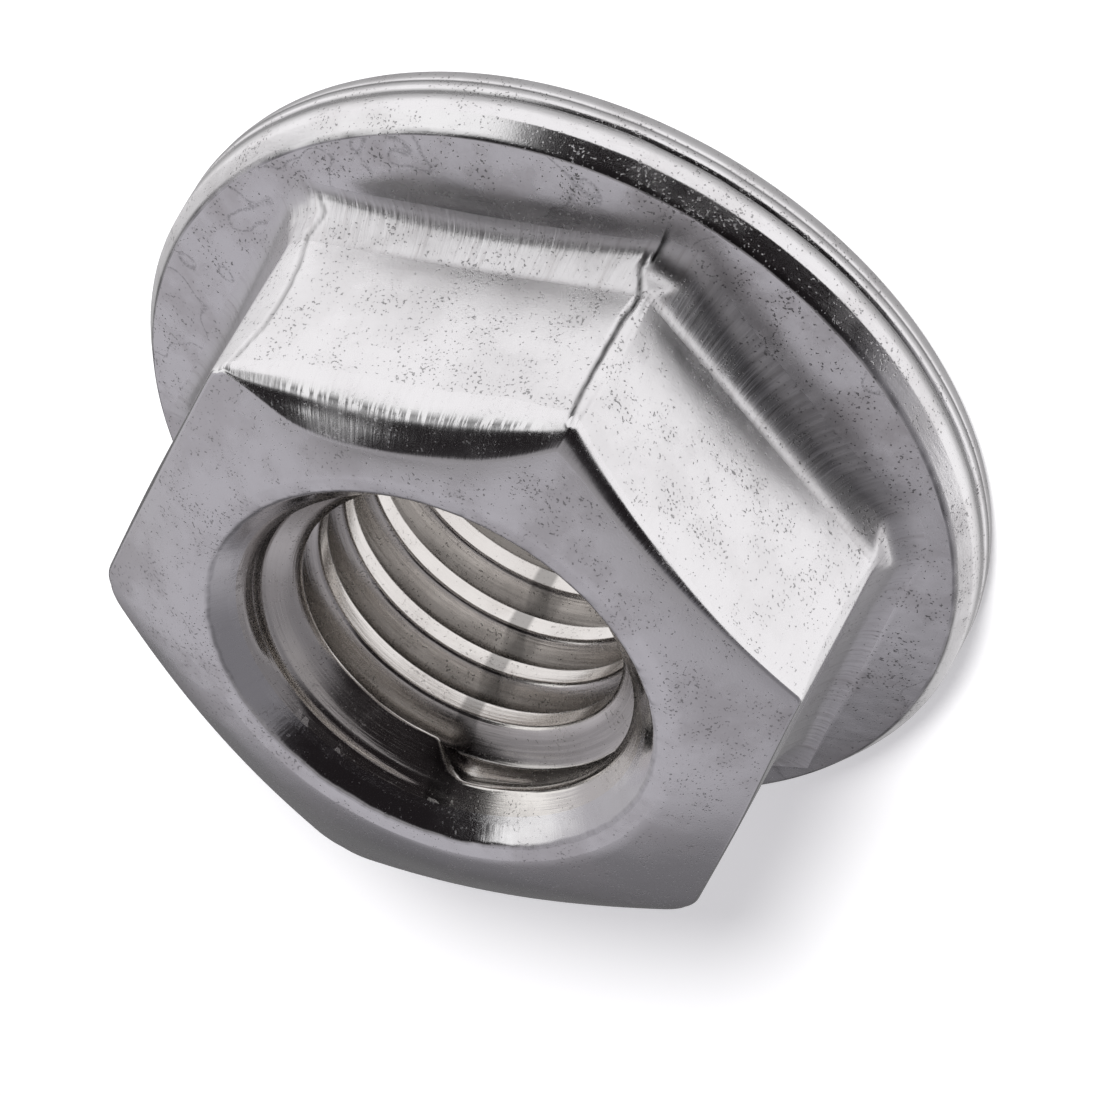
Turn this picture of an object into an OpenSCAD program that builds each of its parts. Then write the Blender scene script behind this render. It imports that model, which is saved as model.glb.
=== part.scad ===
// Hex flange nut, standing on its flange with the thread axis upright.
// The origin is the middle of the bearing face, and two corners of the hexagon lie on the Y axis.
// All sizes are in millimetres.

/* [Thread] */
// Nominal diameter of the thread
thread_d = 8; // [7.6:0.05:8.4]
// Distance between two turns of the thread
thread_pitch = 1.25; // [1:0.05:1.5]
// What the tapped hole is wider than the thread's basic inner diameter
bore_allowance = 0.06; // [0:0.01:0.25]

/* [Countersinks] */
// How far the countersink at the hexagon's end is wider than the thread, at each side
end_sink_lead = 0.74; // [0.3:0.02:0.9]
// How far the countersink in the bearing face is wider than the thread, at each side
face_sink_lead = 0.35; // [0.1:0.05:0.7]
// Included angle of both countersinks, in degrees
sink_angle = 90; // [80:5:110]
// Radius that rounds the lip of the countersink at the hexagon's end
sink_lip_r = 0.3; // [0.1:0.05:0.4]
// Radius that rounds the lip of the countersink in the bearing face
face_lip_r = 0.1; // [0.05:0.05:0.3]

/* [Hexagon] */
// Width across two opposite flats
across_flats = 12.85; // [12.5:0.05:13.1]
// Height of the whole nut
nut_height = 7.8; // [7.2:0.1:8.6]
// Diameter of the flat ring at the hexagon's end, where the end chamfer starts
end_ring_d = 10.2; // [10.2:0.1:11]
// Slope of the end chamfer against the flat ring, in degrees
end_chamfer_angle = 21.5; // [12:0.5:30]
// What is missing at the very tip of each corner, measured towards the axis
corner_blunt = 0.02; // [0.01:0.01:0.1]
// How much deeper each corner is left unfilled half way up
corner_relief = 0.12; // [0.04:0.01:0.25]
// Height at which each flat starts to turn over into the end face
flat_turn_z = 6.6; // [6.4:0.05:7]
// Radius of that turn
flat_turn_r = 1.2; // [0.8:0.05:1.5]
// Radius of the hollow that runs out from a flat into the flange
flat_fillet_r = 0.8; // [0.4:0.05:1]
// Slope of that hollow where it meets the flange, in degrees
flat_foot_angle = 32; // [26:1:45]
// Radius of the hollow that runs out from a corner into the flange
corner_fillet_r = 0.6; // [0.3:0.05:0.9]

/* [Flange] */
// Outside diameter of the flange
flange_d = 17.85; // [17.4:0.05:18.4]
// Height of the rim, up to the sharp edge where the flange's slope starts
rim_h = 1.83; // [1.6:0.01:2.1]
// Slope of the flange's upper side, in degrees
cone_angle = 17; // [12:1:22]
// How far the rim's upper edge lies inside the flange's outside
rim_lean = 0.26; // [0.2:0.01:0.35]
// Height of the rim's rounded shoulder
shoulder_h = 0.5; // [0.4:0.01:0.55]
// Radius of the rim's rounded shoulder
shoulder_r = 1; // [0.9:0.05:1.5]
// Height of the upper groove round the rim
upper_groove_z = 0.81; // [0.75:0.01:0.95]
// Height of the lower groove round the rim
lower_groove_z = 0.5; // [0.4:0.01:0.6]
// Depth of both grooves
groove_depth = 0.05; // [0.02:0.01:0.08]
// Width of both grooves at their mouth
groove_w = 0.09; // [0.05:0.01:0.12]
// How far the lip below the grooves is set back from the flange's outside
lip_inset = 0.03; // [0.01:0.01:0.06]
// Radius that rounds the lip into the bearing face
lip_r = 0.38; // [0.15:0.01:0.4]

/* [Hidden] */
$fn = 144;

// How far a cut runs past the surface that it opens
past = 0.5;
// How far an arc reaches past the line that it runs into, so that the two cross in a clean edge
bite = 0.004;
// How far a hollow dips below the flange's slope, for the same reason
dip = 0.02;
// Height of the stretch at each end of a corner that the relief leaves alone
tip_h = 0.05;

// Thread: the basic triangle of the profile gives the diameter that the hole is drilled to
thread_depth = 5 / 8 * sqrt(3) / 2 * thread_pitch;
bore_r = thread_d / 2 - thread_depth + bore_allowance / 2;
end_sink_r = thread_d / 2 + end_sink_lead;
face_sink_r = thread_d / 2 + face_sink_lead;

// Hexagon: half widths from the axis to a flat and to a corner
flat_r = across_flats / 2;
corner_r = flat_r / cos(30) - corner_blunt;

// Flange
flange_r = flange_d / 2;
rim_top_r = flange_r - rim_lean;
wall_top_z = rim_h - shoulder_h;

// The shoulder's arc joins the wall's top to the rim's upper edge: its chord, and its centre
shoulder_chord = norm([rim_lean, shoulder_h]);
shoulder_reach = sqrt(shoulder_r * shoulder_r - shoulder_chord * shoulder_chord / 4) / shoulder_chord;
shoulder_x = flange_r - rim_lean / 2 - shoulder_reach * shoulder_h;
shoulder_z = wall_top_z + shoulder_h / 2 - shoulder_reach * rim_lean;

// Height of the flange's slope, and of the end chamfer, at a distance r from the axis
function slope_z(r) = rim_h + (rim_top_r - r) * tan(cone_angle);
function chamfer_z(r) = nut_height - (r - end_ring_d / 2) * tan(end_chamfer_angle);

// A hollow leaves a wall at a distance r upright, and turns through an arc of radius fillet_r until
// it slopes by angle, where it reaches the flange: the distance and the height of that foot, and the
// height of the arc's centre
function foot_r(r, fillet_r, angle) = r + fillet_r * (1 - sin(angle));
function foot_z(r, fillet_r, angle) = slope_z(foot_r(r, fillet_r, angle)) - dip;
function hollow_z(r, fillet_r, angle) = foot_z(r, fillet_r, angle) + fillet_r * cos(angle);

// A hollow's section: the corner between the wall and the flange, filled up to the arc
module hollow_section(r, fillet_r, angle) {
    top = hollow_z(r, fillet_r, angle);
    difference() {
        square([foot_r(r, fillet_r, angle), top]);
        translate([r + fillet_r, top]) circle(fillet_r + bite);
    }
}

// What a flat's turn leaves of the blank: the quarter circle that it turns over on
module turn_section() {
    difference() {
        square([flat_r, nut_height + past]);
        difference() {
            translate([flat_r - flat_turn_r, flat_turn_z]) square([flat_turn_r + past, nut_height]);
            translate([flat_r - flat_turn_r, flat_turn_z]) circle(flat_turn_r + bite);
        }
    }
}

// One pair of opposite flats, seen along them: a straight blank with a turn at each end and a hollow
// at each foot, which goes on straight below the slope, so that it reaches the flange beside the
// corners too
module flats_section() {
    slope = tan(flat_foot_angle);
    top = foot_z(flat_r, flat_fillet_r, flat_foot_angle) + slope * foot_r(flat_r, flat_fillet_r, flat_foot_angle);
    for (side = [0, 1]) mirror([side, 0]) {
        turn_section();
        hollow_section(flat_r, flat_fillet_r, flat_foot_angle);
        polygon([[0, 0], [top / slope, 0], [0, top]]);
    }
}

// The round form that bounds the corners: the end chamfer, the hollow left in each corner where
// the metal didn't fill the die, and the run-out into the flange
module corner_section() {
    low_z = hollow_z(corner_r, corner_fillet_r, cone_angle);
    top_z = chamfer_z(corner_r);
    half = (top_z - low_z) / 2 - tip_h;
    relief_r = (half * half + corner_relief * corner_relief) / (2 * corner_relief);
    difference() {
        polygon([[0, 0], [corner_r, 0], [corner_r, top_z], [end_ring_d / 2, nut_height], [0, nut_height]]);
        translate([corner_r - corner_relief + relief_r, (low_z + top_z) / 2]) circle(relief_r, $fn = 720);
    }
    hollow_section(corner_r, corner_fillet_r, cone_angle);
}

// The forged hexagon: three pairs of flats that share their metal, bounded by the round form
module hexagon() {
    length = 3 * flange_r;
    intersection() {
        flat_pair(0, length);
        flat_pair(60, length);
        flat_pair(120, length);
        rotate_extrude() corner_section();
    }
}

module flat_pair(angle, length) {
    rotate([90, 0, angle]) linear_extrude(height = length, center = true) flats_section();
}

// A groove's section: a small V, cut into the rim at a height z
module groove_section(z) {
    polygon([[flange_r - groove_depth, z],
             [flange_r + groove_depth, z - groove_w],
             [flange_r + groove_depth, z + groove_w]]);
}

// Half the flange's section: the bearing face, the lip, the upright wall with its two grooves,
// the rounded shoulder with a sharp upper edge, and the slope
module flange_section() {
    lip_edge_r = flange_r - lip_inset;
    difference() {
        polygon([[0, 0],
                 [lip_edge_r, 0],
                 [lip_edge_r, lower_groove_z],
                 [flange_r, lower_groove_z],
                 [flange_r, slope_z(flange_r)],
                 [0, slope_z(0)]]);
        difference() {
            translate([shoulder_x, shoulder_z]) square([shoulder_r + past, shoulder_r + past]);
            translate([shoulder_x, shoulder_z]) circle(shoulder_r);
        }
        difference() {
            translate([lip_edge_r - lip_r, -past]) square([lip_r + past, lip_r + past]);
            translate([lip_edge_r - lip_r, lip_r]) circle(lip_r + bite);
        }
        groove_section(upper_groove_z);
        groove_section(lower_groove_z);
    }
}

// A countersink of mouth radius r, opening upwards at z = 0, with its lip rounded over by round_r
module countersink_section(r, round_r) {
    half = sink_angle / 2;
    depth = (r - bore_r) / tan(half);
    lip_run = round_r * tan((90 - half) / 2);
    polygon([[0, -depth - bore_r / tan(half)],
             [r, 0],
             [r + past * tan(half), past],
             [0, past]]);
    difference() {
        polygon([[r - lip_run * sin(half), -lip_run * cos(half)],
                 [r + lip_run, 0],
                 [r + lip_run, past],
                 [r - lip_run * sin(half), past]]);
        translate([r + lip_run, -round_r]) circle(round_r + bite);
    }
}

// The hole: the tapped bore at the thread's crests, and a countersink at each end
module hole() {
    translate([0, 0, -past]) cylinder(h = nut_height + 2 * past, r = bore_r);
    translate([0, 0, nut_height]) rotate_extrude() countersink_section(end_sink_r, sink_lip_r);
    mirror([0, 0, 1]) rotate_extrude() countersink_section(face_sink_r, face_lip_r);
}

module flange_nut() {
    color([0.72, 0.71, 0.72]) difference() {
        union() {
            rotate_extrude() flange_section();
            hexagon();
        }
        hole();
    }
}

flange_nut();
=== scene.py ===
# %% [markdown]
# # A hex flange nut in bare stainless steel
# A flange nut is pressed cold from one short slug of wire, tumbled until its edges are soft, and
# tapped last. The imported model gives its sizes. This script adds what the presses and the tap leave
# behind: rounded and ragged edges, hollows, the turns of the thread, pits and stains.
# Everything is in metres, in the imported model's frame, with the thread axis upright.

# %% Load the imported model
import math

import bmesh
import bpy
import numpy as np
from mathutils import Matrix, Vector


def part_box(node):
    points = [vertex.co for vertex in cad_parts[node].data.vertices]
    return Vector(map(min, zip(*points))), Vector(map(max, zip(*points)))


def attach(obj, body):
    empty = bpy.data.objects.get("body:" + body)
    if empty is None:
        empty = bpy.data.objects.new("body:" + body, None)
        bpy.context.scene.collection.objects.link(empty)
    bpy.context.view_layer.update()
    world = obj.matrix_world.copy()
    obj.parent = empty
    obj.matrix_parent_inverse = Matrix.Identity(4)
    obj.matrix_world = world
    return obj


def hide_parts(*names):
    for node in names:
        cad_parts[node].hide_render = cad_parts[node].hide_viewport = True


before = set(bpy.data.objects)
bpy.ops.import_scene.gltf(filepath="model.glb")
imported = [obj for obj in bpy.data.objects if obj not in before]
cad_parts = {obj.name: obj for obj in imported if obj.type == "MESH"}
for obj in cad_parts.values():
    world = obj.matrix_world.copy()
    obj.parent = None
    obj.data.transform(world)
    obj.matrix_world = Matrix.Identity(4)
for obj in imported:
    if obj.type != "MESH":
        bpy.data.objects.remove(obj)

bpy.context.scene.view_settings.view_transform = "Standard"
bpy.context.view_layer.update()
nut_low, nut_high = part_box("flange_nut")
MM = 0.001
print("nut stands", round((nut_high[2] - nut_low[2]) / MM, 2), "mm high")

# %% [markdown]
# ## The camera
# A small part is photographed from far away with a long lens, so that near and far edges stay the
# same size. The nut lies on its side in the picture. Turning the camera about its own line of sight
# gives the same picture while the nut stays upright on its flange, which keeps the model simple.
# The angles and the distance come from matching the hexagon, the hole and the flange's rim.

# %% Camera
camera_azimuth = math.radians(-0.585)
camera_elevation = math.radians(39.02)
camera_roll = math.radians(-150.376)
camera_distance = 237.74 * MM
camera_target = Vector((-0.815, 0.008, 3.619)) * MM
camera_lens = 396.91


def direction(azimuth, elevation):
    """A unit vector: azimuth 0 points along -Y, towards the viewer, and grows towards +X."""
    flat = math.cos(elevation)
    return Vector((math.sin(azimuth) * flat, -math.cos(azimuth) * flat, math.sin(elevation)))


def add_camera():
    back = direction(camera_azimuth, camera_elevation)
    side = Vector((0, 0, 1)).cross(back).normalized()
    upright = Matrix((side, back.cross(side), back)).transposed()
    camera = bpy.data.objects.new("camera", bpy.data.cameras.new("camera"))
    camera.data.lens = camera_lens
    turned = upright @ Matrix.Rotation(camera_roll, 3, "Z")
    camera.matrix_world = Matrix.Translation(camera_target + back * camera_distance) @ turned.to_4x4()
    bpy.context.collection.objects.link(camera)
    bpy.context.scene.camera = camera


add_camera()
print("camera", round(camera_distance / MM), "mm away, lens", camera_lens, "mm")

# %% [markdown]
# ## Small helpers for materials
# Materials here are graphs of nodes. Building each graph by hand takes many lines, so a small class
# adds a node, sets its inputs and joins it in one call. A number that is the same everywhere is set
# on the shader's own socket, so that it survives an export.


# %% Node helper
class Graph:
    """A node graph that is built by short calls."""

    def __init__(self, owner):
        owner.use_nodes = True
        self.tree = owner.node_tree
        self.tree.nodes.clear()

    def node(self, kind, *inputs, **settings):
        made = self.tree.nodes.new(kind)
        for name, value in settings.items():
            setattr(made, name, value)
        for slot, value in enumerate(inputs):
            self.put(made.inputs[slot], value)
        return made

    def put(self, socket, value):
        if value is None:
            return
        if isinstance(value, bpy.types.NodeSocket):
            self.tree.links.new(value, socket)
        else:
            socket.default_value = value

    def math(self, operation, *inputs):
        return self.node("ShaderNodeMath", *inputs, operation=operation).outputs[0]

    def step(self, value, low, high, out_low=0.0, out_high=1.0):
        """A smooth step from out_low to out_high while value goes from low to high."""
        ranged = self.node("ShaderNodeMapRange", value, low, high, out_low, out_high,
                           interpolation_type="SMOOTHSTEP")
        return ranged.outputs[0]

    def mix(self, share, first, second):
        """A colour between first and second."""
        made = self.node("ShaderNodeMix", data_type="RGBA")
        for name, value in (("Factor_Float", share), ("A_Color", first), ("B_Color", second)):
            socket = next(s for s in made.inputs if s.identifier == name)
            self.put(socket, value)
        return made.outputs[2]

    def noise(self, where, scale, detail, roughness):
        return self.node("ShaderNodeTexNoise", where, None, scale, detail, roughness).outputs[0]

    def place(self):
        """Where a point lies on its object, in millimetres."""
        place = self.node("ShaderNodeTexCoord").outputs["Object"]
        return self.node("ShaderNodeVectorMath", place, (1000, 1000, 1000), operation="MULTIPLY").outputs[0]


# %% [markdown]
# ## The studio
# Polished metal shows its surroundings more than itself, so the surroundings are designed first.
# The real nut lies on white card under soft light, with a dark room behind the camera and a grey
# one beyond. Here the white card is the floor, and the room is the world: a few soft patches in
# fixed directions, from near black to white. The metal reflects them, while the camera itself sees
# plain white. Patches in the world need no lamps or cards.

# %% World
far_room = (0.470, 0.458, 0.492, 1)
patches = [
    # name, azimuth from and to, its softness, elevation from and to, its softness, colour
    ("left wall", -132, -35, 24, -90, 60, 18, (0.19, 0.185, 0.20, 1)),
    ("glow along the left horizon", -135, -50, 18, -90, 8, 14, (0.46, 0.45, 0.47, 1)),
    ("ceiling above the camera", -120, 120, 30, 52, 95, 12, (0.30, 0.29, 0.30, 1)),
    ("light far right", 108, 156, 10, -90, 20, 10, (0.46, 0.45, 0.47, 1)),
    ("dark room behind the camera", -58, 95, 6, -90, 65, 4, (0.012, 0.010, 0.011, 1)),
    ("white wall on the right", 44, 108, 5, -90, 25, 2.0, (1.0, 1.0, 1.0, 1)),
    ("window", 72, 100, 1.2, -90, 46, 1.5, (1.0, 1.0, 1.0, 1)),
    ("shade at the far end", 174, 214, 8, -90, 27, 10, (0.15, 0.146, 0.156, 1)),
    ("dark low at the far end", 174, 214, 8, -90, 2, 8, (0.07, 0.068, 0.073, 1)),
]


def make_world():
    world = bpy.data.worlds.new("studio")
    bpy.context.scene.world = world
    g = Graph(world)
    towards = g.node("ShaderNodeTexCoord").outputs["Generated"]
    z = g.node("ShaderNodeSeparateXYZ", towards).outputs[2]
    elevation = g.math("ARCSINE", z)
    away = g.math("SQRT", g.math("SUBTRACT", 1.00001, g.math("MULTIPLY", z, z)))
    colour = far_room
    for name, left, right, side_soft, low, high, top_soft, patch_colour in patches:
        middle = math.radians((left + right) / 2)
        half = math.radians((right - left) / 2)
        aim = Vector((math.sin(middle), -math.cos(middle), 0))
        facing = g.node("ShaderNodeVectorMath", towards, aim, operation="DOT_PRODUCT").outputs["Value"]
        turn = g.math("ARCCOSINE", g.math("DIVIDE", facing, away))
        beside = g.step(turn, half - math.radians(side_soft), half + math.radians(side_soft), 1.0, 0.0)
        above = g.step(elevation, math.radians(high - top_soft), math.radians(high + top_soft), 1.0, 0.0)
        below = g.step(elevation, math.radians(low - top_soft), math.radians(low + top_soft))
        share = g.math("MULTIPLY", g.math("MULTIPLY", beside, above), below)
        colour = g.mix(share, colour, patch_colour)
    seen = g.node("ShaderNodeLightPath").outputs["Is Camera Ray"]
    colour = g.mix(seen, colour, (1, 1, 1, 1))
    light = g.node("ShaderNodeBackground", colour, 1.0).outputs[0]
    g.node("ShaderNodeOutputWorld", light)


make_world()
print("world with", len(patches), "patches")

# %% [markdown]
# The floor is white card. A soft lamp from the camera's side lays the nut's shadow on it. To the
# camera the card also glows a little, so that it reads as clean white, while the part that is lit
# can still go grey in the shadow. Under the hole it glows brightly to the camera too, a painted light
# where the card would lie in the nut's shade. The metal sees another card, which glows by its place
# alone, as painted light and shade: bright in front, much darker behind, painted shade close to the
# rim, and bright through the hole, where the thread's crests pick it up. The distances are in
# millimetres from the nut's axis.

# %% Floor and lamp
floor_size = 1.6
floor_glow = 0.36
floor_white = 0.86
card_in_front = 1.0
card_behind = 0.16
card_far_behind = 0.12
card_at_rim = 0.42
card_in_hole = 0.93
hole_edge = (4.1, 4.4)
rim_shade = (8.8, 10.3)
fade_behind = (-4, 11)
fade_far_behind = (12, 70)
lamp_azimuth = 12.5
lamp_elevation = 36
lamp_distance = 0.30
lamp_size = 0.075
lamp_power = 1.15


def make_floor():
    mesh = bpy.data.meshes.new("floor")
    half = floor_size / 2
    corners = [(-half, -half, 0), (half, -half, 0), (half, half, 0), (-half, half, 0)]
    mesh.from_pydata(corners, [], [(0, 1, 2, 3)])
    floor = bpy.data.objects.new("floor", mesh)
    bpy.context.collection.objects.link(floor)
    card = bpy.data.materials.new("white card")
    g = Graph(card)
    path = g.node("ShaderNodeLightPath")
    place = g.place()
    away = g.node("ShaderNodeVectorMath", place, operation="LENGTH").outputs["Value"]
    behind = g.node("ShaderNodeSeparateXYZ", place).outputs[1]
    # the card glows by its place, not by any lamp: painted light in front and through the hole, painted shade
    # behind and near the rim; under the hole it also glows brightly to the camera
    in_hole = g.step(away, *hole_edge, card_in_hole, 0.0)
    bright = g.step(behind, *fade_behind, card_in_front, card_behind)
    bright = g.math("MINIMUM", bright, g.step(behind, *fade_far_behind, card_in_front, card_far_behind))
    bright = g.math("MULTIPLY", bright, g.step(away, *rim_shade, card_at_rim, 1.0))
    bright = g.math("MAXIMUM", bright, in_hole)
    to_camera = g.math("MAXIMUM", in_hole, floor_glow)
    to_camera = g.math("MULTIPLY", path.outputs["Is Camera Ray"], to_camera)
    lit = g.node("ShaderNodeBsdfDiffuse", (floor_white, floor_white, floor_white, 1)).outputs[0]
    glow = g.node("ShaderNodeEmission", (0.98, 0.975, 1.0, 1), to_camera).outputs[0]
    own = g.node("ShaderNodeAddShader", lit, glow).outputs[0]
    seen = g.node("ShaderNodeEmission", (1.0, 0.99, 1.0, 1), bright).outputs[0]
    to_metal = g.math("MAXIMUM", path.outputs["Is Glossy Ray"], path.outputs["Is Transmission Ray"])
    g.node("ShaderNodeOutputMaterial", g.node("ShaderNodeMixShader", to_metal, own, seen).outputs[0])
    mesh.materials.append(card)


def add_lamp():
    lamp = bpy.data.objects.new("soft lamp", bpy.data.lights.new("soft lamp", "AREA"))
    lamp.data.shape = "DISK"
    lamp.data.size = lamp_size
    lamp.data.energy = lamp_power
    aim = direction(math.radians(lamp_azimuth), math.radians(lamp_elevation))
    lamp.location = aim * lamp_distance
    lamp.rotation_euler = aim.to_track_quat("Z", "Y").to_euler()
    lamp.visible_glossy = False
    bpy.context.collection.objects.link(lamp)


make_floor()
add_lamp()

# %% [markdown]
# ## The metal's form
# Every section of the nut through its axis is one closed line. The form could be cut from blocks
# with booleans, but the soft edges, the hollows and the thread would then be hard to reach. So the
# line is drawn at each of several hundred angles, from the same rows: row 40 is the same edge all
# the way round. The mesh then flows along the hexagon's edges, and each edge can swell and fade.
# All the sizes below are in millimetres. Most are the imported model's own, and a few differ a little,
# where a closer look at the photograph asked for it.

# %% Sizes
thread_pitch = 1.25
thread_outer_r = 4.12
bore_r = 3.353
end_sink_r = 4.742
face_sink_r = 4.35

flat_r = 6.441
corner_blunt = 0.02
nut_height = 7.8
end_ring_r = 5.1
flat_fillet_r = 0.6
corner_fillet_r = 0.6

flange_r = 8.922
rim_top_r = 8.655
rim_z = 1.83
cone_angle = math.radians(17)
shoulder_z = 1.33
upper_groove_z = 0.81
lower_groove_z = 0.5
lip_r = 0.45

hexagon_centre = np.array((-0.125, -0.005))
flange_centre = np.array((-0.06, 0.02))
bore_centre = np.array((0.0, 0.0))

corner_r = flat_r / math.cos(math.radians(30)) - corner_blunt

# %% [markdown]
# The angles are closer together near the hexagon's six corners, where the form turns quickly, and
# the two flats that face the camera get more of them than the other four.

# %% Angles of the sections
corner_angles = [-150, -90, -30, 30, 90, 150]
steps_between_corners = [108, 108, 78, 78, 78, 78]
corner_crowding = 0.8


def section_angles():
    angles = []
    for start, steps in zip(corner_angles, steps_between_corners):
        share = np.arange(steps) / steps
        eased = share - corner_crowding * np.sin(2 * math.pi * share) / (2 * math.pi)
        angles.append(start + 60 * eased)
    return np.radians(np.concatenate(angles))


theta = section_angles()
columns = len(theta)
from_flat = (theta + math.pi / 6) % (math.pi / 3) - math.pi / 6
print(columns, "sections")


# %% [markdown]
# Two tools shape everything. One joins two forms with a small rounding where they cross. The other
# lets a size drift along the hexagon, from corner to corner, through a few named values.

# %% Rounded joins, and sizes that drift
def lesser(a, b, rounding):
    """The smaller of a and b, rounded where they cross."""
    overlap = np.maximum(rounding - np.abs(a - b), 0) / rounding
    return np.minimum(a, b) - overlap * overlap * rounding / 4


def greater(a, b, rounding):
    return -lesser(-a, -b, rounding)


def round_the_nut(values, softness=3.0):
    """A size at every section, from its values at angles in degrees, softened over some degrees."""
    turn = np.degrees(theta)
    angles = list(values)
    sizes = list(values.values())
    shifts = np.linspace(-softness, softness, 9)
    return np.mean([np.interp(turn + shift, angles, sizes, period=360) for shift in shifts], axis=0)


def uneven(seed, spacing):
    """A line that wanders between -1 and 1 as it goes round, with a new value every few degrees."""
    count = int(round(360 / spacing))
    values = np.random.default_rng(seed).uniform(-1, 1, count)
    return np.interp(np.degrees(theta), np.arange(count) * spacing, values, period=360)


# %% [markdown]
# ## The hexagon
# The press fills the die from the middle outwards, so the corners stay a little hollow half way up,
# which leaves a leaf-shaped facet on each. At its foot every flat runs out in a hollow, and at its
# end it turns over a rounded edge into the end face. That edge is the liveliest line on the nut: on
# one flat it is broad and soft, on the next it sharpens towards the corner. Four of the flats swell,
# to follow the outline in the photograph. With the hexagon off centre too, they stand up to about a
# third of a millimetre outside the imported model's, and a 13 mm spanner would not pass over them.
# With every value of swell at 0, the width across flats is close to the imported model's.

# %% The hexagon's own sizes, which drift from corner to corner
end_slope = math.tan(math.radians(21.5))
turn_r = round_the_nut({
    -150: 0.3, -120: 0.4, -96: 0.45, -90: 0.6, -84: 1.0, -77: 1.25, -50: 1.25, -41: 1.1, -35: 0.8, -31: 0.4,
    -29: 0.3, 0: 0.4, 30: 0.4, 60: 0.6, 90: 0.5, 120: 0.6}, softness=2.5)
turn_depth = round_the_nut({
    -150: 0.1, -120: 0.25, -96: 0.32, -90: 0.42, -84: 0.70, -77: 0.87, -50: 0.89, -41: 0.78, -35: 0.50,
    -31: 0.18, -29: 0.1, 0: 0.2, 30: 0.1, 60: 0.14, 90: 0.08, 120: 0.12}, softness=2.5)
steepest_turn = math.radians(52)
swell = round_the_nut({
    -150: 0, -120: 0, -90: 0, -62: 0, -45: 0.07, -30: 0.17, 0: 0.24, 30: 0.24, 60: 0.25, 90: 0.27, 120: 0.27,
    150: 0.22, 180: 0.17, 198: 0.06}, softness=6)
corner_blunting = round_the_nut({
    -150: 0.0, -90: 0, -30: 0.03, 0: 0.03, 30: 0.12, 60: 0.10, 90: 0.14, 120: 0.10, 150: 0.08,
    180: 0.03}, softness=5)
join_rounding = round_the_nut({
    -150: 0.03, -90: 0.03, -30: 0.03, 0: 0.06, 20: 0.14, 40: 0.14, 90: 0.14, 150: 0.12,
    180: 0.05}, softness=5)
end_bulge = round_the_nut({
    -150: 0.03, -90: 0.02, -30: 0.02, 0: 0.04, 30: 0.05, 60: 0.06, 90: 0.08, 120: 0.09, 150: 0.06,
    180: 0.04}, softness=8)
turn_start_z = nut_height - ((flat_r + swell) / np.cos(from_flat) - end_ring_r) * end_slope - turn_depth
corner_relief = round_the_nut({-150: 0.10, -90: 0.075, -30: 0.175, 30: 0.09, 90: 0.09})
relief_low_z = 2.6
relief_high_z = 6.9
corner_crease = round_the_nut({
    -150: 0, -91: 0, -90: 0.08, -84: 0.08, -82: 0, -36: 0, -34: 0.05, -30: 0.05, -29: 0.0, 30: 0,
    90: 0}, softness=0.3)
crease_half = 0.030
crease_top_z = 6.75
crease_fade = 0.3
foot_fillet = round_the_nut({
    -150: 0.26, -120: 0.30, -95: 0.28, -88: 0.15, -60: 0.13, -32: 0.15, -28: 0.22, 150: 0.22}, softness=2)
foot_dip = round_the_nut({
    -150: 0.0, -120: 0.06, -90: 0.04, -75: 0.18, -60: 0.24, -45: 0.18, -30: 0.0, 0: 0.05, 30: 0.0, 60: 0.05,
    90: 0.0, 120: 0.05, 150: 0.0, 180: 0.05}, softness=8)


def cone_z(r):
    return rim_z + (rim_top_r - r) * math.tan(cone_angle)


flat_hollow_z = 3.07
flat_foot_angle = np.radians(round_the_nut({
    -150: 60, -120: 56, -93: 60, -89: 72, -60: 72, -30: 70, 150: 66}, softness=2))
flat_foot_z = flat_hollow_z - flat_fillet_r * np.cos(flat_foot_angle)
corner_foot_z = cone_z(corner_r + corner_fillet_r * (1 - math.sin(cone_angle))) - 0.02
corner_hollow_z = corner_foot_z + corner_fillet_r * math.cos(cone_angle)


def hollow_reach(z, top_z, fillet_r, foot_z, foot_angle):
    """How far a hollow stands out from its wall at height z."""
    down = np.clip(top_z - z, 0, fillet_r * np.cos(foot_angle))
    arc = fillet_r - np.sqrt(fillet_r ** 2 - down ** 2)
    below = np.maximum(foot_z - z, 0) / np.tan(foot_angle)
    return arc + below


def turn_inset(z):
    """How far a flat has turned inwards at height z, near the end face."""
    up = np.maximum(z - turn_start_z, 0)
    on_arc = np.minimum(up, turn_r * math.sin(steepest_turn))
    return turn_r - np.sqrt(turn_r ** 2 - on_arc ** 2) + (up - on_arc) * math.tan(steepest_turn)


def wall_and_crease(z):
    """The hexagon's radius at height z, at every section, and how much of a crease there is."""
    reach = hollow_reach(z, flat_hollow_z, flat_fillet_r, flat_foot_z, flat_foot_angle)
    flat = (flat_r + swell + reach - turn_inset(z)) / np.cos(from_flat)
    along = np.clip((z - relief_low_z) / (relief_high_z - relief_low_z), 0, 1)
    corner = corner_r + swell - corner_blunting - corner_relief * 4 * along * (1 - along) - turn_inset(z)
    corner = corner + hollow_reach(z, corner_hollow_z, corner_fillet_r, corner_foot_z, cone_angle)
    ragged = 0.006 * np.sin(z * 13 + 3 * np.sin(z * 5.3)) + 0.005 * np.sin(z * 47 + 2 * np.sin(z * 19))
    depth = corner_crease * np.clip((crease_top_z - z) / crease_fade, 0, 1)
    crease = depth * np.exp(-((flat - corner + ragged) / crease_half) ** 2)
    return lesser(flat, corner, join_rounding) - crease, crease


def hexagon_wall(z):
    return wall_and_crease(z)[0]


# painted shade, a painted dark reflection and a dark blot on the hexagon: angles in degrees, heights in
# millimetres
full_crease = 0.075
streaky_flat = (-147, -94)
foot_shade_z = 2.78
dent_z = 3.25
dent_half = 0.16
dent_start = -128
blot_angle = -31.8
dark_reflection_lean = 32


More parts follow.
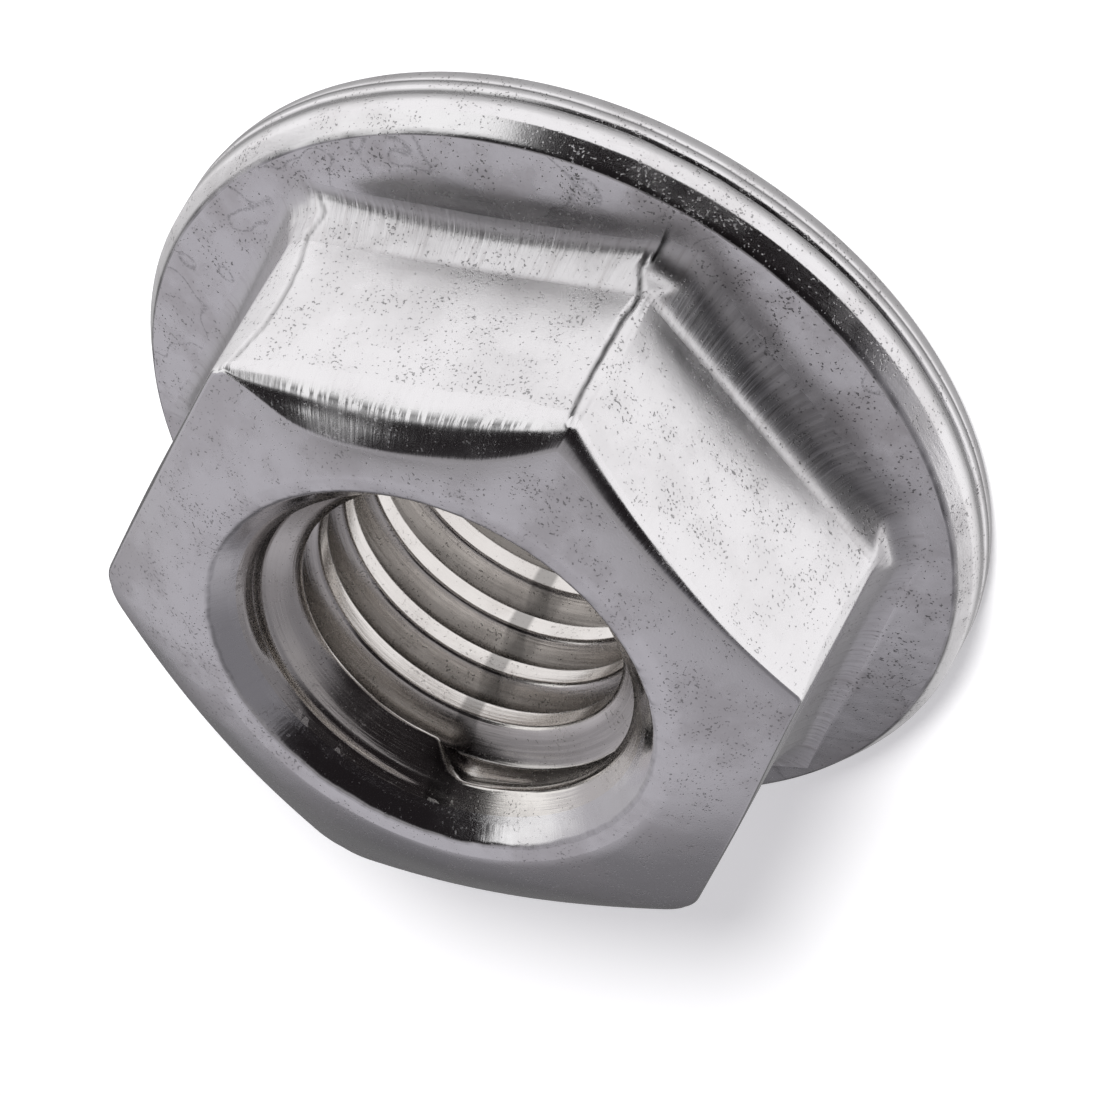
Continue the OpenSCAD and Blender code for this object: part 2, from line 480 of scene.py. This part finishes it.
def hexagon_shade_and_blot(z):
    """Painted shade in the creases, in the streaky foot of one flat and along a dent across it, a painted
    dark reflection in teeth on the turned-over edge, and a dark blot by one corner.
    """
    # painted shade in the corner creases, in the foot of one flat and along a dent across that flat; a
    # painted dark reflection in teeth along the turned-over edge; a dark blot by one corner
    crease = np.clip(wall_and_crease(z)[1] / full_crease, 0, 1) ** 1.3
    turn = np.degrees(theta)
    beside = np.clip((streaky_flat[1] - turn) / 5, 0, 1) * np.clip((turn - streaky_flat[0]) / 6, 0, 1)
    foot = beside * np.clip((foot_shade_z - z) / 0.12, 0, 1) * 0.5
    dent_shade = beside * np.exp(-((z - dent_z) / dent_half) ** 2) * np.clip((turn - dent_start) / 20, 0, 1) * 0.5
    blot = np.exp(-((turn - blot_angle) / 1.2) ** 2 - ((z - end_edge_z + 0.05) / 0.13) ** 2)
    lean = np.degrees(np.arcsin(np.clip((z - turn_start_z) / turn_r, 0, 1)))
    dark_reflection_teeth = np.exp(-((lean - dark_reflection_lean) / 5) ** 2) * np.clip((turn_r - 0.8) / 0.3, 0, 1) * 0.95
    return np.max([crease, foot, dent_shade, blot, dark_reflection_teeth], axis=0)


def chamfer_wall(z):
    return end_ring_r + (nut_height - z) / end_slope


def cone_wall(z):
    return rim_top_r + (rim_z - z) / math.tan(cone_angle)


def find_crossing(low, high, is_above):
    """The height, at every section, above which is_above holds."""
    low = np.full(columns, low)
    high = np.full(columns, high)
    for halving in range(40):
        middle = (low + high) / 2
        above = is_above(middle)
        high = np.where(above, middle, high)
        low = np.where(above, low, middle)
    return (low + high) / 2


foot_z = find_crossing(rim_z, flat_hollow_z, lambda z: hexagon_wall(z) > cone_wall(z))
end_edge_z = find_crossing(6.0, nut_height, lambda z: hexagon_wall(z) > chamfer_wall(z))
print("foot of the hexagon between", round(foot_z.min(), 2), "and", round(foot_z.max(), 2), "mm")
print("its end edge between", round(end_edge_z.min(), 2), "and", round(end_edge_z.max(), 2), "mm")

# %% [markdown]
# ## The section, row by row
# The rows start where the thread ends at the hexagon's side, go up the countersink, out over the end
# face, down the hexagon, over the flange and back in under it. Each row is a ring of points: a
# radius and a height at every section, and the centre it is measured from. The real nut's hexagon
# and flange are not quite centred on its hole, so the centre drifts by about a tenth of a millimetre.

# %% Rows from the countersink to the bearing face
rings = []


def add_ring(name, r, z, centre, dirt_and_shade=0.0):
    spread = np.ones(columns)
    rings.append((name, r * spread, z * spread, centre, dirt_and_shade * spread))


def shares(count):
    """Even steps up to 1, without the 0 that the row before stands for."""
    return np.arange(1, count + 1) / count


def add_line(name, start, end, count, centres):
    for share in shares(count):
        add_ring(name, start[0] + (end[0] - start[0]) * share, start[1] + (end[1] - start[1]) * share,
                 centres[0] + (centres[1] - centres[0]) * share)


def add_bend(name, start, corner, end, count, centre, dirt_and_shade=0.0):
    """A soft bend from start to end that would meet in a sharp corner."""
    for t in shares(count):
        r = (1 - t) ** 2 * start[0] + 2 * t * (1 - t) * corner[0] + t * t * end[0]
        z = (1 - t) ** 2 * start[1] + 2 * t * (1 - t) * corner[1] + t * t * end[1]
        add_ring(name, r, z, centre, dirt_and_shade)


def add_wall(name, top_z, low_z, count):
    """Rows down the hexagon's wall, from one height to another."""
    for share in shares(count):
        z = top_z + (low_z - top_z) * share
        add_ring(name, hexagon_wall(z), z, hexagon_centre, hexagon_shade_and_blot(z))


sink_join_r = 4.30
sink_join_z = nut_height - (end_sink_r - sink_join_r)
lip_out_r = end_ring_r - 0.02

# the countersink, its ragged edge and the soft lip round it
ragged_edge = 0.012 * uneven(1, 4) + 0.010 * uneven(2, 1.5)
mouth_r = end_sink_r - 0.03 + ragged_edge
mouth_z = mouth_r + nut_height - end_sink_r
add_ring("sink", sink_join_r, sink_join_z, bore_centre)
mouth_start = (mouth_r - 0.05, mouth_z - 0.05)
mouth_end = (mouth_r + 0.05, mouth_z + 0.018)
mouth_dirt = 0.25 + 0.35 * uneven(3, 3) * uneven(4, 1.2)
add_line("sink", (sink_join_r, sink_join_z), mouth_start, 3, (bore_centre, bore_centre))
add_bend("sink", mouth_start, (mouth_r, mouth_z), mouth_end, 3, bore_centre, mouth_dirt)
add_bend("lip", mouth_end, (end_sink_r + 0.12, nut_height), (lip_out_r, nut_height), 5, bore_centre)

# the flat ring and the end chamfer, out to its edge
edge_r = hexagon_wall(end_edge_z)
edge_soft = 0.05
chamfer_end = (edge_r - edge_soft, end_edge_z + edge_soft * end_slope)
add_ring("end", end_ring_r, nut_height, bore_centre)
for share in shares(8):
    add_ring("end", end_ring_r + (chamfer_end[0] - end_ring_r) * share,
             nut_height + (chamfer_end[1] - nut_height) * share + end_bulge * 4 * share * (1 - share),
             bore_centre + (hexagon_centre - bore_centre) * share)

# the flat's end that turns over, and down the flat to the hollow
turn_top_z = end_edge_z - edge_soft
add_bend("edge", chamfer_end, (edge_r, end_edge_z), (hexagon_wall(turn_top_z), turn_top_z), 3, hexagon_centre)
turn_low_z = np.minimum(turn_start_z, turn_top_z - 0.1)
add_wall("edge", turn_top_z, turn_low_z, 9)
add_wall("flat", turn_low_z, flat_hollow_z, 14)
foot_start_z = foot_z + foot_fillet
add_wall("hollow", flat_hollow_z, foot_start_z, 7)

# the foot's small fillet, the flange's cone and its sharp upper edge. low_side darkens the cone on
# one side, in place of a shade that the light here doesn't give.
foot_r = hexagon_wall(foot_z)
foot_end_r = foot_r + foot_fillet * 1.3 + foot_dip * 1.3
add_bend("hollow", (hexagon_wall(foot_start_z), foot_start_z), (foot_r, foot_z - foot_dip),
         (foot_end_r, cone_z(foot_end_r) - foot_dip * 0.6), 5, hexagon_centre, hexagon_shade_and_blot(foot_z))
low_side = round_the_nut({-175: 0.30, -150: 0.0, 120: 0.0, 160: 0.34, 180: 0.36}, softness=10)
rim_oval = -0.069 * np.cos(2 * theta) - 0.068 * np.sin(2 * theta)
rim_soft = 0.03
for share in shares(10):
    r = foot_end_r + (rim_top_r + rim_oval - rim_soft - foot_end_r) * share
    dip = foot_dip * 0.6 * np.exp(-((r - foot_end_r) / 0.35) ** 2)
    # painted shade on the cone: the shade painted at the hexagon's foot fades outwards over it, and low_side
    # darkens one side
    cone_shade = np.maximum(hexagon_shade_and_blot(foot_z) * np.exp(-((r - foot_end_r) / 0.4) ** 2), low_side)
    add_ring("cone", r, cone_z(r - rim_oval * share) - dip,
             hexagon_centre + (flange_centre - hexagon_centre) * share, cone_shade)
cone_end = (rim_top_r + rim_oval - rim_soft, rim_z + rim_soft * math.tan(cone_angle))
shoulder_start = (rim_top_r + rim_oval + rim_soft, rim_z - rim_soft)
# a painted dark reflection along the flange's sharp upper edge, broken up at random
rim_dark_reflection = 0.35 + 0.25 * uneven(5, 6) + 0.3 * uneven(6, 1.5)
add_bend("rim", cone_end, (rim_top_r + rim_oval, rim_z), shoulder_start, 3, flange_centre, rim_dark_reflection)
wall_r = flange_r + rim_oval
band_r = wall_r - 0.004
wander = 0.014 * uneven(7, 20) + 0.007 * uneven(8, 5)
shoulder_foot_z = shoulder_z + wander
add_bend("rim", shoulder_start, (wall_r - 0.06, shoulder_foot_z + 0.14), (band_r, shoulder_foot_z + 0.02), 6,
         flange_centre)

# the upright wall with its two grooves, and the lip
groove_depth = 0.055
# painted shade in the rim's two grooves
rim_groove_shade = 0.9
upper_half = 0.05
floor_half = 0.012
lower_half = 0.03
upper_z = upper_groove_z + wander * 1.5
lower_z = lower_groove_z + wander
both = (flange_centre, flange_centre)
add_line("rim", (wall_r, shoulder_foot_z), (wall_r, upper_z + upper_half), 2, both)
add_ring("rim", wall_r - groove_depth, upper_z + floor_half, flange_centre, rim_groove_shade)
add_ring("rim", wall_r - groove_depth, upper_z - floor_half, flange_centre, rim_groove_shade)
add_ring("rim", band_r, upper_z - upper_half, flange_centre)
add_line("rim", (band_r, upper_z - upper_half), (band_r, lower_z + lower_half), 2, both)
add_ring("rim", wall_r - groove_depth, lower_z, flange_centre, rim_groove_shade)
lip_edge = wall_r - 0.03
lip_top = (lip_edge, lower_z - lower_half)
add_ring("rim", *lip_top, flange_centre)
add_bend("rim", lip_top, (lip_edge, 0.0), (lip_edge - lip_r, 0.0), 6, flange_centre)

# the bearing face and its small countersink
face_lip = 0.06
add_line("bearing", (lip_edge - lip_r, 0.0), (face_sink_r + face_lip, 0.0), 5, (flange_centre, bore_centre))
low_join_r = 4.12
low_join_z = face_sink_r - low_join_r
face_lip_end = (face_sink_r - face_lip * 0.7, face_lip * 0.7)
add_bend("bearing", (face_sink_r + face_lip, 0.0), (face_sink_r, 0.0), face_lip_end, 2, bore_centre)
add_line("bearing", face_lip_end, (low_join_r, low_join_z), 2, (bore_centre, bore_centre))

# %% [markdown]
# ## The thread
# The tap cuts a right-handed helix. Rows that follow the helix keep every crest sharp, while level
# rows would cross the crests in small steps. So each row climbs by one pitch in a turn. A row that
# would climb past the countersink stops there, and its points are merged with the countersink's
# inner ring. The thread itself is one rule: the crest, the flanks and the root as a function of the
# distance from the nearest crest. Where a countersink is wider than the thread, it wins.

# %% Thread rows
crest_z_far = 2.93
crest_angle = math.pi / 2
crest_half = 0.205
root_half = 0.03
row_phases = [-0.5, -0.47, -0.35, -0.20, -0.165, -0.12, 0.0, 0.12, 0.165, 0.20, 0.27, 0.36, 0.39, 0.46]

# the last groove runs out on the countersink
last_groove = 3.5
last_groove_drop = 0.165
last_groove_slope = 0.64
last_groove_r = 4.18
shallow_from = math.radians(114)
seam_angle = math.radians(-150)

# past its end the last ridge is too thin to live, and has broken off along this line
break_start = math.radians(99)
break_run = 0.28
break_r = 3.91
break_z = 6.97


def thread_profile(phase):
    """The thread's radius at a distance from the nearest crest, in turns from -0.5 to 0.5."""
    away = np.abs(phase) * thread_pitch
    flank_end = thread_pitch / 2 - root_half
    share = np.clip((away - crest_half) / (flank_end - crest_half), 0, 1)
    soft = share * share * (3 - 2 * share)
    return bore_r + (thread_outer_r - bore_r) * (0.85 * share + 0.15 * soft)


def ease(value):
    value = np.clip(value, 0, 1)
    return value * value * (3 - 2 * value)


def thread_radius(z, turn):
    """The hole's radius at a height, where turn grows from one cut in the thread to the next."""
    rise = (turn - crest_angle) / (2 * math.pi)
    phase = (z - crest_z_far) / thread_pitch - rise
    ridge = np.round(phase)
    cut = thread_profile(phase - ridge)
    start = turn - seam_angle
    bottom = last_groove_r - 0.10 * np.clip((shallow_from - turn) / 1.6, 0, 1) - 0.5 * (1 - ease(start / 1.5))
    below = (phase - last_groove) * thread_pitch + last_groove_drop
    cut = np.maximum(cut, bottom - np.abs(below) / last_groove_slope)
    late = np.where(phase > last_groove - 1, ease((turn - break_start) / break_run), 0)
    early = np.where(phase > last_groove, 1 - ease(start / 1.2), 0)
    left = np.where(z > break_z, break_r, break_r + 0.6 * np.minimum(break_z - z, 0.35))
    cut = np.maximum(cut, bore_r + (left - bore_r) * np.maximum(late, early))
    sink = end_sink_r - (nut_height - z)
    face = face_sink_r - z
    return greater(greater(cut, sink, 0.02), face, 0.05)


broken_end_angle = 107
broken_end_z = 6.72
groove_shade_r = 3.42
groove_shade_top_z = 6.1


def thread_shade(z, r, angles):
    """Painted shade deep in the grooves, lower down the hole, and at the broken end of the last ridge."""
    turn = np.degrees(angles)
    # painted shade at the broken end of the last ridge, and deep in the grooves lower down the hole
    broken_end = np.exp(-((turn - broken_end_angle) / 8) ** 2 - ((z - broken_end_z) / 0.25) ** 2) * 0.9
    in_groove = ease((r - groove_shade_r) / 0.25) * (1 - ease((z - groove_shade_top_z) / 0.3)) * 0.48
    return np.maximum(in_groove * (r > 3.38), broken_end)


# %% [markdown]
# ## Building the mesh
# The outside is a plain grid of rows and sections that closes on itself all the way round. The
# thread is a second grid, cut open at one angle so that its rows can climb. Both are put in one
# mesh, and points that share a place are merged, which closes the metal.

# %% Mesh
flow_r = 8
finish_of = {
    # rows of one name get the finish at this place in the list of finishes
    "sink": 7, "end": 0, "edge": 6, "rim": 4, "lip": 0, "flat": 1, "hollow": 2, "cone": 3, "bearing": 3,
    "thread": 5}


def ring_points(r, z, centre):
    return np.stack([centre[0] + r * np.cos(theta), centre[1] + r * np.sin(theta), z], 1)


def flow_points(angles, along):
    """Where a point lies for the finish: round the nut at one radius, and along its section."""
    return np.stack([flow_r * np.cos(angles), flow_r * np.sin(angles), along], 1)


def grid_faces(rows, across, first, wrap):
    faces = []
    for i in range(rows - 1):
        for j in range(across if wrap else across - 1):
            k = (j + 1) % across
            faces.append((first + i * across + j, first + i * across + k,
                          first + (i + 1) * across + k, first + (i + 1) * across + j))
    return faces


def outside_grid():
    points = np.concatenate([ring_points(r, z, centre) for name, r, z, centre, dirt_and_shade in rings])
    along = np.zeros(columns)
    flow = [flow_points(theta, along)]
    for before, after in zip(rings[:-1], rings[1:]):
        along = along + np.hypot(after[1] - before[1], after[2] - before[2])
        flow.append(flow_points(theta, along))
    dirt_and_shade = np.concatenate([ring[4] for ring in rings])
    return points, np.concatenate(flow), dirt_and_shade, grid_faces(len(rings), columns, 0, True)


def thread_grid(first):
    angles = np.append(theta, theta[0] + 2 * math.pi)
    rows = []
    rise = (angles - crest_angle) / (2 * math.pi)
    low = int(math.floor((low_join_z - crest_z_far) / thread_pitch - rise.max())) - 1
    high = int(math.ceil((sink_join_z - crest_z_far) / thread_pitch - rise.min())) + 1
    for coil in range(low, high + 1):
        for phase in row_phases:
            z = crest_z_far + thread_pitch * (coil + phase + rise)
            if z.max() <= low_join_z or z.min() >= sink_join_z:
                continue
            rows.append(np.clip(z, low_join_z, sink_join_z))
    rows = [np.full(len(angles), low_join_z)] + rows + [np.full(len(angles), sink_join_z)]
    points = []
    flow = []
    dirt_and_shade = []
    for z in rows:
        r = thread_radius(z, angles)
        r = np.where(z <= low_join_z, low_join_r, r)
        r = np.where(z >= sink_join_z, sink_join_r, r)
        points.append(np.stack([r * np.cos(angles), r * np.sin(angles), z], 1))
        flow.append(flow_points(angles, (z - thread_pitch * rise) + 1.2 * (r - bore_r)))
        dirt_and_shade.append(thread_shade(z, r, angles))
    faces = grid_faces(len(rows), len(angles), first, False)
    return np.concatenate(points), np.concatenate(flow), np.concatenate(dirt_and_shade), faces, len(rows)


outside, outside_flow, outside_dirt_and_shade, outside_faces = outside_grid()
thread, thread_flow, inside_shade, thread_faces, thread_row_count = thread_grid(len(outside))
print(len(rings), "rows outside,", thread_row_count, "rows of thread")


def build_nut():
    mesh = bpy.data.meshes.new("dressed_nut")
    points = np.concatenate([outside, thread]) * MM
    mesh.from_pydata(points.tolist(), [], outside_faces + thread_faces)
    flow = mesh.attributes.new("flow", "FLOAT_VECTOR", "POINT")
    flow.data.foreach_set("vector", np.concatenate([outside_flow, thread_flow]).ravel())
    dirt_and_shade = mesh.attributes.new("dirt_and_shade", "FLOAT", "POINT")
    dirt_and_shade.data.foreach_set("value", np.clip(np.concatenate([outside_dirt_and_shade, inside_shade]), 0, 1))
    finish = [finish_of[rings[i + 1][0]] for i in range(len(rings) - 1) for j in range(columns)]
    finish += [finish_of["thread"]] * len(thread_faces)
    mesh.polygons.foreach_set("material_index", finish)
    work = bmesh.new()
    work.from_mesh(mesh)
    bmesh.ops.remove_doubles(work, verts=work.verts, dist=1e-8)
    bmesh.ops.recalc_face_normals(work, faces=work.faces)
    open_edges = sum(1 for edge in work.edges if len(edge.link_faces) != 2)
    triangles = sum(len(face.verts) - 2 for face in work.faces)
    print("open or shared edges", open_edges, "triangles", triangles, "volume", work.calc_volume() * 1e9)
    work.to_mesh(mesh)
    work.free()
    for polygon in mesh.polygons:
        polygon.use_smooth = True
    nut = bpy.data.objects.new("dressed_nut", mesh)
    bpy.context.collection.objects.link(nut)
    return nut


nut = build_nut()

# %% [markdown]
# ## The steel
# All of it is one bare stainless steel. What changes from place to place is what touched it last:
# the punch left the end face smooth with small pits, the die scored the flats and their feet along
# the axis, and the tap drew fine lines round the thread. One function makes the steel, and each
# finish gives it other amounts of the same things: cloudy stains, pits, streaks, waves and grain.
# Dirt and painted shade come from the mesh, point by point: painted shade in creases, grooves and
# hollows, and painted dark reflections along some edges. The flange adds folds. The thread adds a dark
# stripe along its length at one fixed angle, which stands in for a mark whose cause isn't certain.

# %% Steel
stripe_angle = math.radians(108)


def steel(name, roughness, stains, pits, streaks, streak_shape, waves, tint=(0.865, 0.855, 0.865),
          grains=0.0016, stripe=False, laps=False, patchy=(0.36, 0.56, 0.72)):
    """streak_shape is how many streaks there are to a millimetre, round the nut and along its section."""
    made = bpy.data.materials.new(name)
    g = Graph(made)
    place = g.place()
    flow = g.node("ShaderNodeAttribute", attribute_name="flow").outputs["Vector"]
    round_about, along = streak_shape
    stretch = (round_about, round_about, along)
    grid = g.node("ShaderNodeVectorMath", flow, stretch, operation="MULTIPLY").outputs[0]

    cloud = g.step(g.noise(place, 0.55, 5.0, 0.62), 0.40, 0.66)
    cluster = g.step(g.noise(place, 1.1, 2.0, 0.6), 0.38, 0.68)
    speck = g.math("MULTIPLY_ADD", cluster, 0.10, g.noise(place, 15.0, 1.5, 0.6))
    hole = g.step(g.noise(place, 4.5, 3.0, 0.7), 0.735, 0.765)
    pit = g.math("MAXIMUM", g.step(speck, 0.67, 0.77), hole)
    grain = g.noise(place, 22.0, 2.0, 0.6)
    streak = g.noise(grid, 1.0, 3.0, 0.6)
    wave = g.noise(place, 0.8, 2.0, 0.5)

    dark = tuple(c * 0.35 for c in tint) + (1,)
    stained = tuple(c * f for c, f in zip(tint, (0.80, 0.785, 0.78))) + (1,)
    colour = g.mix(g.math("MULTIPLY", cloud, stains), tint + (1,), stained)
    colour = g.mix(g.math("MULTIPLY", g.step(streak, 0.5, 0.75), min(1.0, streaks * 60)), colour, stained)
    colour = g.mix(g.math("MULTIPLY", pit, pits), colour, dark)
    # the mesh's values darken the steel towards near black: mostly painted shade and painted dark
    # reflections, with some real marks
    dirt_and_shade = g.node("ShaderNodeAttribute", attribute_name="dirt_and_shade").outputs["Fac"]
    dirt_and_shade = g.math("MULTIPLY", dirt_and_shade, g.step(streak, *patchy, 1.0))
    colour = g.mix(dirt_and_shade, colour, tuple(c * 0.10 for c in tint) + (1,))
    if laps:
        fold = g.noise(place, 0.42, 2.0, 0.55)
        fold = g.step(g.math("ABSOLUTE", g.math("SUBTRACT", fold, 0.57)), 0.002, 0.010, 0.5, 0.0)
        fold = g.math("MULTIPLY", fold, g.step(grain, 0.35, 0.55))
        colour = g.mix(fold, colour, dark)
    if stripe:
        across = (-math.sin(stripe_angle), math.cos(stripe_angle), 0)
        towards = (math.cos(stripe_angle), math.sin(stripe_angle), 0)
        beside = g.node("ShaderNodeVectorMath", flow, across, operation="DOT_PRODUCT").outputs["Value"]
        ahead = g.node("ShaderNodeVectorMath", flow, towards, operation="DOT_PRODUCT").outputs["Value"]
        line = g.step(g.math("ABSOLUTE", beside), 0.38, 0.62, 1.0, 0.0)
        line = g.math("MULTIPLY", line, g.step(ahead, 0.0, 1.0, 0.0, 0.75))
        colour = g.mix(line, colour, dark)

    height = g.math("MULTIPLY", wave, waves)
    height = g.math("MULTIPLY_ADD", streak, streaks, height)
    height = g.math("MULTIPLY_ADD", grain, grains, height)
    height = g.math("MULTIPLY_ADD", pit, -0.006 * pits, height)
    bump = g.node("ShaderNodeBump", 1.0, 0.001, None, height).outputs[0]
    rough = g.math("MULTIPLY_ADD", cloud, 0.10, g.math("MULTIPLY_ADD", pit, 0.2, roughness))

    shader = g.node("ShaderNodeBsdfPrincipled", colour)
    shader.inputs["Metallic"].default_value = 1.0
    g.put(shader.inputs["Roughness"], rough)
    g.put(shader.inputs["Normal"], bump)
    g.node("ShaderNodeOutputMaterial", shader.outputs[0])
    return made


finishes = [
    # name, roughness, stains, pits, streaks, streaks to a millimetre round and along, waves
    steel("punched end face", 0.22, 0.7, 0.6, 0.0010, (1.5, 1.5), 0.012),
    steel("pressed flats", 0.23, 0.2, 0.7, 0.0016, (6.0, 0.8), 0.010),
    steel("scored feet", 0.36, 0.5, 0.6, 0.014, (8.0, 0.5), 0.010),
    steel("pressed flange", 0.24, 1.0, 0.9, 0.0020, (3.0, 1.5), 0.016, laps=True),
    steel("turned rim", 0.18, 0.5, 0.7, 0.0030, (1.0, 6.0), 0.010),
    steel("tapped thread", 0.18, 0.4, 0.2, 0.0045, (0.25, 14.0), 0.003, (0.87, 0.84, 0.81), grains=0.0006,
          stripe=True),
    steel("turned-over edge", 0.16, 0.1, 0.0, 0.0030, (11.0, 1.3), 0.004, grains=0.0003,
          patchy=(0.46, 0.53, 0.0)),
    steel("countersink", 0.13, 0.4, 0.05, 0.0022, (6.0, 1.5), 0.012, grains=0.0004),
]
for finish in finishes:
    nut.data.materials.append(finish)
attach(nut, "root")
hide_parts("flange_nut")
